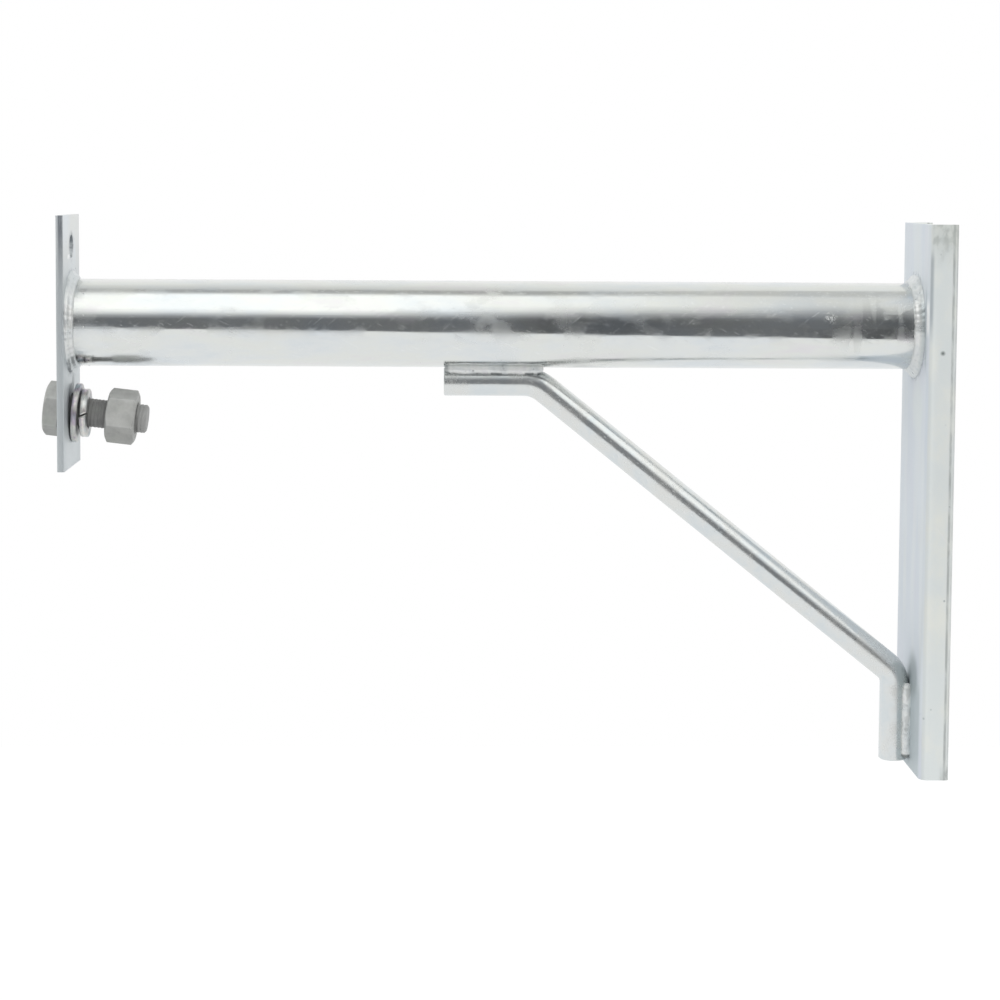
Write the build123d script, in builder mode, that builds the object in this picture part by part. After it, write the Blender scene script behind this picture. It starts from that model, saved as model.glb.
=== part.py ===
from build123d import *
from math import cos, radians, sin, sqrt, tan
import os

# Extension arm for a pole: a round tube welded square between an end plate and a pole channel,
# stiffened from below by a bent round bar, with one loose bolt set in the end plate's lower hole.
# Millimetres, +Z up. The origin lies on the tube's axis, in the plane of the channel's two tips,
# where the pole stands. The arm reaches out along -X.

# Tube
tube_diameter = 48.3
tube_wall = 3.2
tube_length = 471.0

# End plate
plate_width = 60.0
plate_height = 140.0
plate_thickness = 4.0
plate_above_axis = 59.5
plate_edge_radius = 1.2
largest_edge_share = 0.4
upper_hole_diameter = 13.0
upper_hole_below_top = 17.5
lower_hole_diameter = 18.0
lower_hole_washer_room = 3.25

# Pole channel
channel_width = 75.0
channel_depth = 16.0
channel_thickness = 4.0
channel_height = 307.0
channel_above_axis = 57.5
channel_bend_inside = 1.0
channel_tip_radius = 1.8
same_place = 0.01

# Brace rod
rod_diameter = 16.0
rod_upper_bend_radius = 20.0
rod_lower_bend_radius = 12.0
rod_start_from_channel = 264.0
rod_upper_bend_from_channel = 212.6
rod_lower_bend_above_channel_end = 53.0
rod_end_above_channel_end = 3.5
rod_end_chamfer = 0.6

# Weld beads
plate_weld_leg = 4.6
channel_weld_leg = 5.0
weld_crown = 0.6
tube_seam_radius = 3.0
channel_seam_radius = 3.2
tube_seam_start = 2.0
tube_seam_length = 53.0
channel_seam_length = 44.0
channel_seam_end = 0.8
seam_out_share_of_rod = 0.45
seam_out_share_of_bead = 0.6

# Bolt set, hanging loose in the lower hole with its nose down
thread_diameter = 16.0
thread_tip_chamfer = 1.6
bolt_length = 48.0
bolt_droop = 6.5
across_flats = 27.0
head_height = 8.5
head_turn = 27.0
nut_height = 16.0
nut_reach = 26.0
nut_turn = 16.5
hex_chamfer_angle = 28.0
chamfered_face_share = 0.97
flat_washer_diameter = 33.0
flat_washer_bore = 18.0
flat_washer_thickness = 3.0
flat_washer_lean = 4.5
spring_washer_diameter = 27.0
spring_washer_bore = 17.4
spring_washer_thickness = 4.0
spring_washer_lean = 1.0
spring_washer_gap = 1.4
spring_washer_gap_slant = 25.0
spring_washer_cut_room = 1.5
thread_clearance = 0.05
seat_clearance = 0.15

# Derived places
tube_radius = tube_diameter / 2
rod_radius = rod_diameter / 2
web_x = -channel_depth
plate_inner_x = web_x - tube_length
plate_outer_x = plate_inner_x - plate_thickness
upper_hole_z = plate_above_axis - upper_hole_below_top
weld_foot_z = -(tube_radius + plate_weld_leg)
lower_hole_z = weld_foot_z - lower_hole_washer_room - flat_washer_diameter / 2
channel_bottom_z = channel_above_axis - channel_height
channel_bend_outside = channel_bend_inside + channel_thickness
rod_lower_bend_z = channel_bottom_z + rod_lower_bend_above_channel_end
rod_end_z = channel_bottom_z + rod_end_above_channel_end
rod_leg_z = -(tube_radius + rod_radius)
rod_leg_x = web_x - rod_radius
rod_start_x = web_x - rod_start_from_channel
rod_upper_bend_x = web_x - rod_upper_bend_from_channel

# End plate: a flat bar with rolled edges, one open hole above the tube and one below it
with BuildPart() as end_plate:
    with BuildSketch(Plane.YZ.offset(plate_outer_x)):
        with Locations((0, plate_above_axis - plate_height / 2)):
            Rectangle(plate_width, plate_height)
        with Locations((0, upper_hole_z)):
            Circle(upper_hole_diameter / 2, mode=Mode.SUBTRACT)
        with Locations((0, lower_hole_z)):
            Circle(lower_hole_diameter / 2, mode=Mode.SUBTRACT)
    extrude(amount=plate_thickness)
    long_edges = end_plate.edges().filter_by(Axis.Z)
    fillet(long_edges, min(plate_edge_radius, plate_thickness * largest_edge_share))
end_plate.part.label = "end_plate"

# Arm tube: open bore, closed at both ends by what it is welded to
with BuildPart() as arm_tube:
    with BuildSketch(Plane.YZ.offset(plate_inner_x)):
        Circle(tube_radius)
        Circle(tube_radius - tube_wall, mode=Mode.SUBTRACT)
    extrude(amount=tube_length)
arm_tube.part.label = "arm_tube"

# Pole channel: a pressed strip, web towards the arm and two short flanges towards the pole
with BuildPart() as pole_channel:
    with BuildSketch(Plane.XY.offset(channel_bottom_z)) as channel_section:
        with Locations((-channel_depth / 2, 0)):
            Rectangle(channel_depth, channel_width)
        with Locations((-(channel_depth - channel_thickness) / 2, 0)):
            Rectangle(
                channel_depth - channel_thickness,
                channel_width - 2 * channel_thickness,
                mode=Mode.SUBTRACT,
            )
        heels = channel_section.vertices().group_by(Axis.X)[0]
        fillet(heels, channel_bend_outside)
        inner_heels = [
            corner
            for corner in channel_section.vertices()
            if abs(corner.X - web_x - channel_thickness) < same_place
            and abs(abs(corner.Y) - channel_width / 2 + channel_thickness) < same_place
        ]
        fillet(inner_heels, channel_bend_inside)
        tips = channel_section.vertices().group_by(Axis.X)[-1]
        outer_tips = [tips.sort_by(Axis.Y)[0], tips.sort_by(Axis.Y)[-1]]
        fillet(outer_tips, channel_tip_radius)
    extrude(amount=channel_height)
pole_channel.part.label = "pole_channel"

# Brace rod: round bar bent twice, its upper leg along the tube and its lower leg down the channel
with BuildPart() as brace_rod:
    with BuildLine() as rod_path:
        FilletPolyline(
            (rod_start_x, 0, rod_leg_z),
            (rod_upper_bend_x, 0, rod_leg_z),
            (rod_leg_x, 0, rod_lower_bend_z),
            (rod_leg_x, 0, rod_end_z),
            radius=[rod_upper_bend_radius, rod_lower_bend_radius],
        )
    with BuildSketch(Plane.YZ.offset(rod_start_x)):
        with Locations((0, rod_leg_z)):
            Circle(rod_radius)
    sweep(path=rod_path.line)
    cut_ends = [
        brace_rod.faces().sort_by(Axis.X)[0].edge(),
        brace_rod.faces().sort_by(Axis.Z)[0].edge(),
    ]
    chamfer(cut_ends, rod_end_chamfer)
brace_rod.part.label = "brace_rod"


def ring_weld(face_x, direction, leg):
    """A bead right round the tube where it meets a flat face, its slope slightly crowned."""
    near, far = leg / 3 + weld_crown, leg * 2 / 3 + weld_crown
    with BuildPart() as bead:
        with BuildSketch(Plane.XZ):
            with BuildLine():
                Polyline(
                    (face_x, tube_radius),
                    (face_x, tube_radius + leg),
                    (face_x + direction * near, tube_radius + far),
                    (face_x + direction * far, tube_radius + near),
                    (face_x + direction * leg, tube_radius),
                    close=True,
                )
            make_face()
        revolve(axis=Axis.X)
    return bead


plate_weld = ring_weld(plate_inner_x, 1, plate_weld_leg)
plate_weld.part.label = "plate_weld"
channel_weld = ring_weld(web_x, -1, channel_weld_leg)
channel_weld.part.label = "channel_weld"


def seam_offset(seam_radius):
    """How far to the side of the rod's middle plane a bead lies in the groove beside it."""
    return rod_radius * seam_out_share_of_rod + seam_radius * seam_out_share_of_bead


# Seams between the rod's upper leg and the tube, one on each side, running on over the bend
tube_seams = {}
for name, side in (("tube_seam_front", -1), ("tube_seam_back", 1)):
    across = seam_offset(tube_seam_radius)
    groove_top = -sqrt(tube_radius**2 - across**2)
    groove_bottom = rod_leg_z + sqrt(rod_radius**2 - across**2)
    with BuildPart() as seam:
        with BuildSketch(Plane.YZ.offset(rod_start_x + tube_seam_start)):
            with Locations((side * across, (groove_top + groove_bottom) / 2)):
                Circle(tube_seam_radius)
            Circle(tube_radius, mode=Mode.SUBTRACT)
        extrude(amount=tube_seam_length)
        add(brace_rod.part, mode=Mode.SUBTRACT)
    seam.part.label = name
    tube_seams[name] = seam

# Seams between the rod's lower leg and the channel, one on each side
channel_seams = {}
for name, side in (("channel_seam_front", -1), ("channel_seam_back", 1)):
    across = seam_offset(channel_seam_radius)
    groove_left = rod_leg_x + sqrt(rod_radius**2 - across**2)
    with BuildPart() as seam:
        with BuildSketch(Plane.XY.offset(rod_end_z + channel_seam_end)):
            with Locations(((groove_left + web_x) / 2, side * across)):
                Circle(channel_seam_radius)
            with Locations((web_x + channel_thickness / 2, 0)):
                Rectangle(channel_thickness, channel_width, mode=Mode.SUBTRACT)
        extrude(amount=channel_seam_length)
        add(brace_rod.part, mode=Mode.SUBTRACT)
    seam.part.label = name
    channel_seams[name] = seam

# The bolt's axis: the shank lies on the hole's lower inner edge and the head's top corner
# leans on the plate's outer face
droop = radians(bolt_droop)
shank_radius = thread_diameter / 2
corner_radius = across_flats / sqrt(3)
rest_x = plate_inner_x + (shank_radius + thread_clearance) * sin(droop)
rest_z = lower_hole_z - lower_hole_diameter / 2 + (shank_radius + thread_clearance) * cos(droop)
under_head_x = plate_outer_x - seat_clearance - corner_radius * sin(droop)
under_head_z = rest_z - (under_head_x - rest_x) * tan(droop)
bolt_plane = Plane(
    origin=(under_head_x, 0, under_head_z),
    x_dir=(0, 1, 0),
    z_dir=(cos(droop), 0, -sin(droop)),
)


def shank_top_z(x):
    """Height of the shank's upper line at a place along X."""
    return under_head_z - (x - under_head_x) * tan(droop) + shank_radius / cos(droop)


def hexagon_with_chamfers(plane, height, turn, both_ends):
    """A hexagonal block on a plane, its corners turned off at the outer end or at both."""
    face_radius = across_flats / 2 * chamfered_face_share
    drop = (corner_radius - face_radius) * tan(radians(hex_chamfer_angle))
    near_end = [(face_radius, 0), (corner_radius, drop)] if both_ends else [(corner_radius, 0)]
    far_end = [(corner_radius, height - drop), (face_radius, height)]
    with BuildPart() as block:
        with BuildSketch(plane):
            RegularPolygon(corner_radius, 6, rotation=turn)
        extrude(amount=height)
        turning_plane = Plane(origin=plane.origin, x_dir=plane.x_dir, z_dir=-plane.y_dir)
        with BuildSketch(turning_plane):
            with BuildLine():
                Polyline((0, 0), *near_end, *far_end, (0, height), close=True)
            make_face()
        revolve(axis=Axis(plane.origin, plane.z_dir), mode=Mode.INTERSECT)
    return block


# Hex bolt: heavy head and plain cylinder of the thread's outer size
head_plane = Plane(
    origin=bolt_plane.origin,
    x_dir=bolt_plane.x_dir,
    z_dir=-bolt_plane.z_dir,
)
head = hexagon_with_chamfers(head_plane, head_height, head_turn, False)
with BuildPart() as hex_bolt:
    add(head.part)
    with BuildSketch(bolt_plane):
        Circle(shank_radius)
    extrude(amount=bolt_length)
    tip = hex_bolt.faces().sort_by(Axis.X)[-1].edge()
    chamfer(tip, thread_tip_chamfer)
hex_bolt.part.label = "hex_bolt"

# Hex nut, run part of the way on
nut_plane = bolt_plane.offset(nut_reach)
nut_blank = hexagon_with_chamfers(nut_plane, nut_height, nut_turn, True)
with BuildPart() as hex_nut:
    add(nut_blank.part)
    with BuildSketch(nut_plane):
        Circle(shank_radius + thread_clearance)
    extrude(amount=nut_height, mode=Mode.SUBTRACT)
hex_nut.part.label = "hex_nut"


def hung_washer_plane(face_x, bore, thickness, lean_degrees):
    """The plane of a washer's plate side face, with its bore hung on the shank."""
    lean = radians(lean_degrees)
    bore_radius = bore / 2
    touch_x = face_x + thickness / 2 * cos(lean) + bore_radius * sin(lean)
    tilt_room = thickness / 2 * abs(tan(droop) - tan(lean))
    centre_z = shank_top_z(touch_x) + tilt_room + thread_clearance - bore_radius * cos(lean)
    centre_z = centre_z + thickness / 2 * sin(lean)
    return Plane(
        origin=(face_x, 0, centre_z),
        x_dir=(0, 1, 0),
        z_dir=(cos(lean), 0, -sin(lean)),
    )


# Flat washer, its foot against the plate
flat_lean = radians(flat_washer_lean)
flat_face_x = plate_inner_x + seat_clearance + flat_washer_diameter / 2 * sin(flat_lean)
flat_plane = hung_washer_plane(
    flat_face_x, flat_washer_bore, flat_washer_thickness, flat_washer_lean
)
with BuildPart() as flat_washer:
    with BuildSketch(flat_plane):
        Circle(flat_washer_diameter / 2)
        Circle(flat_washer_bore / 2, mode=Mode.SUBTRACT)
    extrude(amount=flat_washer_thickness)
flat_washer.part.label = "flat_washer"

# Spring washer, its top against the flat washer, split on the near side
spring_lean = radians(spring_washer_lean)
spring_radius = spring_washer_diameter / 2
lean_room = spring_radius * (sin(flat_lean) - sin(spring_lean)) / cos(flat_lean)
spring_face_x = flat_face_x + flat_washer_thickness / cos(flat_lean) + lean_room + seat_clearance
spring_plane = hung_washer_plane(
    spring_face_x, spring_washer_bore, spring_washer_thickness, spring_washer_lean
)
with BuildPart() as spring_washer:
    with BuildSketch(spring_plane):
        Circle(spring_radius)
        Circle(spring_washer_bore / 2, mode=Mode.SUBTRACT)
    extrude(amount=spring_washer_thickness)
    # The slanting cut is drawn just off the near rim, looking along +Y
    cut_start = spring_radius + spring_washer_cut_room
    near_rim = Plane(
        origin=spring_plane.origin - spring_plane.x_dir * cut_start,
        x_dir=spring_plane.z_dir,
        z_dir=spring_plane.x_dir,
    )
    with BuildSketch(near_rim):
        with Locations((spring_washer_thickness / 2, 0)):
            Rectangle(
                spring_washer_thickness * 2,
                spring_washer_gap,
                rotation=spring_washer_gap_slant,
            )
    extrude(amount=cut_start - spring_washer_bore / 4, mode=Mode.SUBTRACT)
spring_washer.part.label = "spring_washer"

os.makedirs("parts", exist_ok=True)
export_step(end_plate.part, "parts/end_plate.step")
export_step(arm_tube.part, "parts/arm_tube.step")
export_step(pole_channel.part, "parts/pole_channel.step")
export_step(brace_rod.part, "parts/brace_rod.step")
export_step(plate_weld.part, "parts/plate_weld.step")
export_step(channel_weld.part, "parts/channel_weld.step")
for name, seam in {**tube_seams, **channel_seams}.items():
    export_step(seam.part, f"parts/{name}.step")
export_step(hex_bolt.part, "parts/hex_bolt.step")
export_step(hex_nut.part, "parts/hex_nut.step")
export_step(flat_washer.part, "parts/flat_washer.step")
export_step(spring_washer.part, "parts/spring_washer.step")
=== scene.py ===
import math

import bmesh
import bpy
from mathutils import Matrix, Vector


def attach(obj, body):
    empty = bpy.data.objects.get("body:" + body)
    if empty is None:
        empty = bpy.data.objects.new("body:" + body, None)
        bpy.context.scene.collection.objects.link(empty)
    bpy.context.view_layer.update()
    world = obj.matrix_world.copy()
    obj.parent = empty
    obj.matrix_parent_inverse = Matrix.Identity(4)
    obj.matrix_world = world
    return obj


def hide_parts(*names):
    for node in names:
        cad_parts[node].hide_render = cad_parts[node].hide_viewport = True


# A welded pole arm in bright zinc, with a loose galvanised bolt set in its end plate.
# Metres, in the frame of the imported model. The arm reaches along -X and +Z is up.

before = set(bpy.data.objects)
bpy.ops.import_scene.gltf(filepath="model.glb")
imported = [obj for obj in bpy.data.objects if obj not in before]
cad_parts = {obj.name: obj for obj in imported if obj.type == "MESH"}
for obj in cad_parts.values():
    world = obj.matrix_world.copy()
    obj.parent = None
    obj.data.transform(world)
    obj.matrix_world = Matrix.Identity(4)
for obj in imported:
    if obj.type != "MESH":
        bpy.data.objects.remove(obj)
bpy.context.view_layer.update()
MM = 0.001

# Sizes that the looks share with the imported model
TUBE_RADIUS = 24.15 * MM
PLATE_INNER_X = -487.0 * MM
PLATE_OUTER_X = -491.0 * MM
UPPER_HOLE_Z = 42.0 * MM
WEB_X = -16.0 * MM
PLATE_LEG = 4.6 * MM
WEB_LEG = 5.0 * MM
TUBE_SEAM_X = (-279.6 * MM, -224.5 * MM)
TUBE_SEAM_Z = -24.95 * MM
CHANNEL_SEAM_X = -17.3 * MM
CHANNEL_SEAM_Z = (-244.8 * MM, -201.6 * MM)
ACROSS_FLATS = 27.0 * MM
HEAD_HEIGHT = 8.5 * MM
HEAD_TURN = -27.0
NUT_HEIGHT = 16.0 * MM
NUT_TURN = 16.5
SHANK_RADIUS = 8.0 * MM
BOLT_SEAT = Vector((-492.915 * MM, 0.0, -48.724 * MM))
BOLT_DROOP = math.radians(6.5)
FLAT_WASHER_SEAT = Vector((-485.555 * MM, 0.0, -50.513 * MM))
FLAT_WASHER_LEAN = math.radians(4.5)
SPRING_WASHER_SEAT = Vector((-481.57 * MM, 0.0, -50.631 * MM))
SPRING_WASHER_LEAN = math.radians(1.0)

# How far along the bolt, in millimetres, the nut starts and the shank ends
NUT_REACH = 26.0
SHANK_LENGTH = 48.0

# Where the ring beads end on the plate and on the web, from the tube's axis
PLATE_TOE = 29.3 * MM
WEB_TOE = 29.8 * MM


# Node benches


class Amount:
    """A number on its way through a node tree. Python's operators on it add Math nodes."""

    def __init__(self, bench, socket):
        self.bench = bench
        self.socket = socket

    def __abs__(self):
        return self.bench.maths("ABSOLUTE", self)


def give_operator(name, operation):
    """Lets an amount stand on either side of one of Python's operators."""
    setattr(Amount, f"__{name}__", lambda one, other: one.bench.maths(operation, one, other))
    setattr(Amount, f"__r{name}__", lambda one, other: one.bench.maths(operation, other, one))


for operator_name, math_operation in (
    ("add", "ADD"),
    ("sub", "SUBTRACT"),
    ("mul", "MULTIPLY"),
    ("truediv", "DIVIDE"),
    ("pow", "POWER"),
):
    give_operator(operator_name, math_operation)


class Bench:
    """A node tree in the making, with one way to add a node to it."""

    def __init__(self, tree):
        self.tree = tree
        self.tree.nodes.clear()

    def node(self, kind, sockets=None, stops=(), catch=(), **settings):
        """Adds a node: its settings first, then the value or link of each socket."""
        made = self.tree.nodes.new(kind)
        for name, value in settings.items():
            setattr(made, name, value)
        for data_type, label in catch:
            made.capture_items.new(data_type, label)
        if stops:
            self.set_stops(made.color_ramp, stops)
        for name, value in (sockets or {}).items():
            socket = made.inputs[name]
            if isinstance(value, Amount):
                value = value.socket
            if isinstance(value, bpy.types.NodeSocket):
                self.tree.links.new(value, socket)
            else:
                socket.default_value = (*value, 1.0) if socket.type == "RGBA" else value
        return made

    def set_stops(self, ramp, stops):
        while len(ramp.elements) < len(stops):
            ramp.elements.new(1.0)
        for element, (place, colour) in zip(ramp.elements, stops):
            element.position = place
            element.color = (*colour, 1.0)

    def amount(self, kind, output, sockets=None, **settings):
        """The number that a new node gives."""
        return Amount(self, self.node(kind, sockets, **settings).outputs[output])

    def maths(self, operation, first, second=0.0):
        return self.amount("ShaderNodeMath", 0, {0: first, 1: second}, operation=operation)

    def most(self, first, second):
        return self.maths("MAXIMUM", first, second)

    def vector(self, operation, first, second=None):
        """Arithmetic on places and directions. A scale takes an amount as its second."""
        sockets = {0: first}
        if second is not None:
            sockets["Scale" if operation == "SCALE" else 1] = second
        made = self.node("ShaderNodeVectorMath", sockets, operation=operation)
        gives_number = operation in ("DOT_PRODUCT", "DISTANCE")
        return Amount(self, made.outputs["Value" if gives_number else "Vector"])

    def rise(self, amount, start, end, low=0.0, high=1.0):
        """Goes smoothly from low to high while amount goes from start to end."""
        limits = {"From Min": start, "From Max": end, "To Min": low, "To Max": high}
        sockets = {"Value": amount, **limits}
        return self.amount("ShaderNodeMapRange", "Result", sockets, interpolation_type="SMOOTHSTEP")

    def fall(self, amount, start, end, high=1.0):
        """Goes smoothly from high to 0 while amount goes from start to end."""
        return self.rise(amount, start, end, high, 0.0)

    def band(self, amount, start, full, fade, end):
        """Goes up to 1 from start to full, and down to 0 again from fade to end."""
        return self.rise(amount, start, full) * self.fall(amount, fade, end)

    def follow(self, amount, stops):
        """Follows straight lines through (amount, value) stops. The values are from 0 to 1."""
        start = stops[0][0]
        span = stops[-1][0] - start
        greys = tuple(((place - start) / span, (value, value, value)) for place, value in stops)
        sockets = {"Fac": (amount - start) / span}
        return self.amount("ShaderNodeValToRGB", "Color", sockets, stops=greys)


class Finish(Bench):
    """A procedural finish. Its patterns are laid out in metres on the piece itself."""

    def __init__(self, name):
        self.material = bpy.data.materials.new(name)
        self.material.use_nodes = True
        super().__init__(self.material.node_tree)
        self.place = self.node("ShaderNodeTexCoord").outputs["Object"]
        apart = self.node("ShaderNodeSeparateXYZ", {"Vector": self.place})
        self.x, self.y, self.z = (Amount(self, apart.outputs[axis]) for axis in "XYZ")

    def laid(self, lump, turn=(0.0, 0.0, 0.0), shift=(0.0, 0.0, 0.0)):
        """The piece's own coordinates, in lumps of one length or of a length on each axis."""
        if isinstance(lump, float):
            lump = (lump, lump, lump)
        sockets = {"Vector": self.place, "Scale": lump, "Rotation": turn, "Location": shift}
        return self.node("ShaderNodeMapping", sockets, vector_type="TEXTURE").outputs["Vector"]

    def cloud(self, lump, detail=2.0, rough=0.5, **laying):
        """Soft noise from 0 to 1, with lumps of the given length."""
        place = self.laid(lump, **laying)
        sockets = {"Vector": place, "Scale": 1.0, "Detail": detail, "Roughness": rough}
        return self.amount("ShaderNodeTexNoise", 0, sockets)

    def cells(self, size):
        """The distance to the nearest of points strewn so far apart, as a share of that."""
        sockets = {"Vector": self.laid(size), "Scale": 1.0}
        return self.amount("ShaderNodeTexVoronoi", "Distance", sockets)

    def scratches(self, turn, length, width, least_share, seed):
        """Sparse fine lines that run along one turned axis."""
        shift = (seed, seed * 0.7, seed * 0.3)
        lines = self.cloud((length, width, width), 1.0, 0.4, turn=turn, shift=shift)
        return self.rise(lines, least_share, least_share + 0.03)

    def near(self, point, reach):
        """1 at a point, fading to 0 at its reach."""
        return self.fall(self.vector("DISTANCE", self.place, point), 0.0, reach)

    def toe_line(self, x, radius):
        """1 along the toe of the bead that runs round the tube, on the face it is welded to."""
        from_axis = self.vector("DISTANCE", self.place, (x, 0.0, 0.0))
        return self.band(
            from_axis, radius - 1.2 * MM, radius - 0.2 * MM, radius + 0.4 * MM, radius + 1.6 * MM
        )

    def ramp(self, amount, *stops):
        return self.node("ShaderNodeValToRGB", {"Fac": amount}, stops).outputs["Color"]

    def mixed(self, share, first, second):
        """A colour between two colours."""
        sockets = {0: share, 6: first, 7: second}
        return self.node("ShaderNodeMix", sockets, data_type="RGBA").outputs[2]

    def tone(self, share, colour=(0.22, 0.24, 0.26)):
        """Brings a share of another colour, dark unless it is given, into the finish's own."""
        self.colour = self.mixed(share, self.colour, colour)

    def relief(self, height, depth, share=1.0, before=None):
        """A bump whose height of 1 stands for so many metres."""
        sockets = {"Height": height, "Distance": depth, "Strength": share}
        if before is not None:
            sockets["Normal"] = before
        return self.node("ShaderNodeBump", sockets).outputs["Normal"]

    def surface(self, roughness, normal, metallic):
        """Ends the finish: metal of its own colour."""
        sockets = {"Base Color": self.colour, "Roughness": roughness, "Normal": normal}
        return self.end("ShaderNodeBsdfPrincipled", {**sockets, "Metallic": metallic})

    def end(self, kind, sockets):
        shader = self.node(kind, sockets)
        self.node("ShaderNodeOutputMaterial", {"Surface": shader.outputs[0]})
        return self.material


class Recipe(Bench):
    """A geometry tree with named sizes. It turns a path or a patch into a plain mesh."""

    SOCKET_KINDS = {float: "NodeSocketFloat", int: "NodeSocketInt", tuple: "NodeSocketVector"}

    def __init__(self, name, sizes):
        super().__init__(bpy.data.node_groups.new(name, "GeometryNodeTree"))
        self.keys = {}
        self.new_socket("Shape", "NodeSocketGeometry")
        for label, value in sizes.items():
            self.new_socket(label, self.SOCKET_KINDS[type(value)]).default_value = value
        self.new_socket("Finish", "NodeSocketMaterial")
        self.tree.interface.new_socket("Shape", in_out="OUTPUT", socket_type="NodeSocketGeometry")
        self.given = self.node("NodeGroupInput")
        self.shape = self.given.outputs["Shape"]
        self.place = self.node("GeometryNodeInputPosition").outputs[0]

    def new_socket(self, label, kind):
        socket = self.tree.interface.new_socket(label, in_out="INPUT", socket_type=kind)
        self.keys[label] = socket.identifier
        return socket

    def size(self, label):
        return Amount(self, self.given.outputs[label])

    def noise(self, seed, scale, detail=1.0, output=0):
        """Noise in space. Another seed gives another pattern."""
        sockets = {"Vector": self.place, "W": seed, "Scale": scale, "Detail": detail}
        return self.amount("ShaderNodeTexNoise", output, sockets, noise_dimensions="4D")

    def even_curve(self, spacing):
        """The starting path as a curve, with its points so far apart."""
        path = self.node("GeometryNodeMeshToCurve", {"Mesh": self.shape})
        sockets = {"Curve": path.outputs[0], "Length": spacing}
        return self.node("GeometryNodeResampleCurve", sockets, mode="LENGTH").outputs[0]

    def circle(self, resolution, radius):
        sockets = {"Resolution": resolution, "Radius": radius}
        return self.node("GeometryNodeCurvePrimitiveCircle", sockets, mode="RADIUS").outputs[0]

    def keep(self, curve, **values):
        """Keeps values at a curve's points. Gives the curve, and the values as kept on it."""
        labels = [("VECTOR" if label == "axis" else "FLOAT", label) for label in values]
        sockets = {"Geometry": curve, **values}
        made = self.node("GeometryNodeCaptureAttribute", sockets, catch=labels, domain="POINT")
        return made.outputs[0], *(Amount(self, made.outputs[label]) for label in values)

    def sweep(self, curve, profile):
        sockets = {"Curve": curve, "Profile Curve": profile, "Fill Caps": True}
        return self.node("GeometryNodeCurveToMesh", sockets).outputs[0]

    def moved(self, shape, direction, distance):
        """The shape with each of its points moved so far along a direction."""
        sockets = {"Geometry": shape, "Offset": self.vector("SCALE", direction, distance)}
        return self.node("GeometryNodeSetPosition", sockets).outputs[0]

    def close(self, shape):
        """Ends the tree: real geometry, smooth, in its finish."""
        smooth = self.node("GeometryNodeSetShadeSmooth", {"Geometry": shape})
        real = self.node("GeometryNodeRealizeInstances", {"Geometry": smooth.outputs[0]})
        sockets = {"Geometry": real.outputs[0], "Material": self.given.outputs["Finish"]}
        dressed = self.node("GeometryNodeSetMaterial", sockets)
        self.node("NodeGroupOutput", {0: dressed.outputs[0]})
        return self

    def make(self, name, start, finish, sizes):
        """Runs the recipe on a starting mesh and gives the result as a plain piece."""
        modifier = start.modifiers.new("recipe", "NODES")
        modifier.node_group = self.tree
        for label, value in {**sizes, "Finish": finish}.items():
            modifier[self.keys[label]] = value
        bpy.context.view_layer.update()
        evaluated = start.evaluated_get(bpy.context.evaluated_depsgraph_get())
        mesh = bpy.data.meshes.new_from_object(evaluated)
        start.modifiers.remove(modifier)
        bpy.data.objects.remove(start)
        mesh.name = name
        outward(mesh)
        return add_object(name, mesh)


def outward(mesh):
    """Turns the faces of a closed mesh outwards."""
    work = bmesh.new()
    work.from_mesh(mesh)
    bmesh.ops.recalc_face_normals(work, faces=work.faces)
    work.to_mesh(mesh)
    work.free()


def add_object(name, data):
    made = bpy.data.objects.new(name, data)
    bpy.context.scene.collection.objects.link(made)
    return made


def add_mesh(name, points, faces, edges=(), finish=None):
    mesh = bpy.data.meshes.new(name)
    mesh.from_pydata([tuple(p) for p in points], list(edges), list(faces))
    if faces:
        outward(mesh)
        mesh.polygons.foreach_set("use_smooth", [True] * len(mesh.polygons))
    if finish is not None:
        mesh.materials.append(finish)
    return add_object(name, mesh)


# Finishes


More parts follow.
